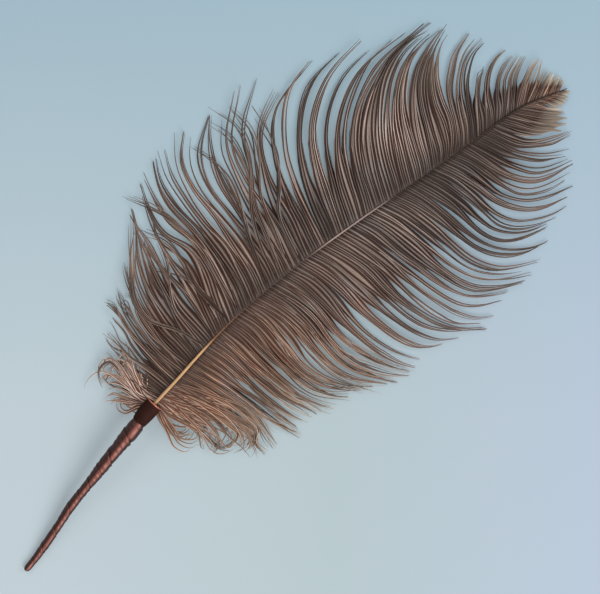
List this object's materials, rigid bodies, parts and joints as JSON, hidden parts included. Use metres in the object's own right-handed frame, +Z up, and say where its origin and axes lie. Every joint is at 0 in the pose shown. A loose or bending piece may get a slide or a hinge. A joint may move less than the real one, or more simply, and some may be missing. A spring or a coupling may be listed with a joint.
{
  "type": "ostrich feather",
  "caption": "Ostrich plume with a ribbon-wound quill grip and a flared band, lying flat, for display, dressing or use as a duster",
  "frame": {"origin": "On the table, in the middle of the small flat under the handle end of the grip", "axes": "+X from the end of the grip to the tip of the feather, +Y to the side of the longer vane, +Z up"},
  "size_m": [0.4823, 0.2322, 0.0222],
  "materials": {
    "feather": "grey-brown ostrich barbs on a golden horn shaft",
    "ribbon": "brown satin ribbon",
    "band": "near-black brown band with a thin coppery rim"
  },
  "bodies": {
    "root": {"feather": "feather", "ribbon_wrap": "ribbon", "collar": "band"}
  },
  "joints": []
}
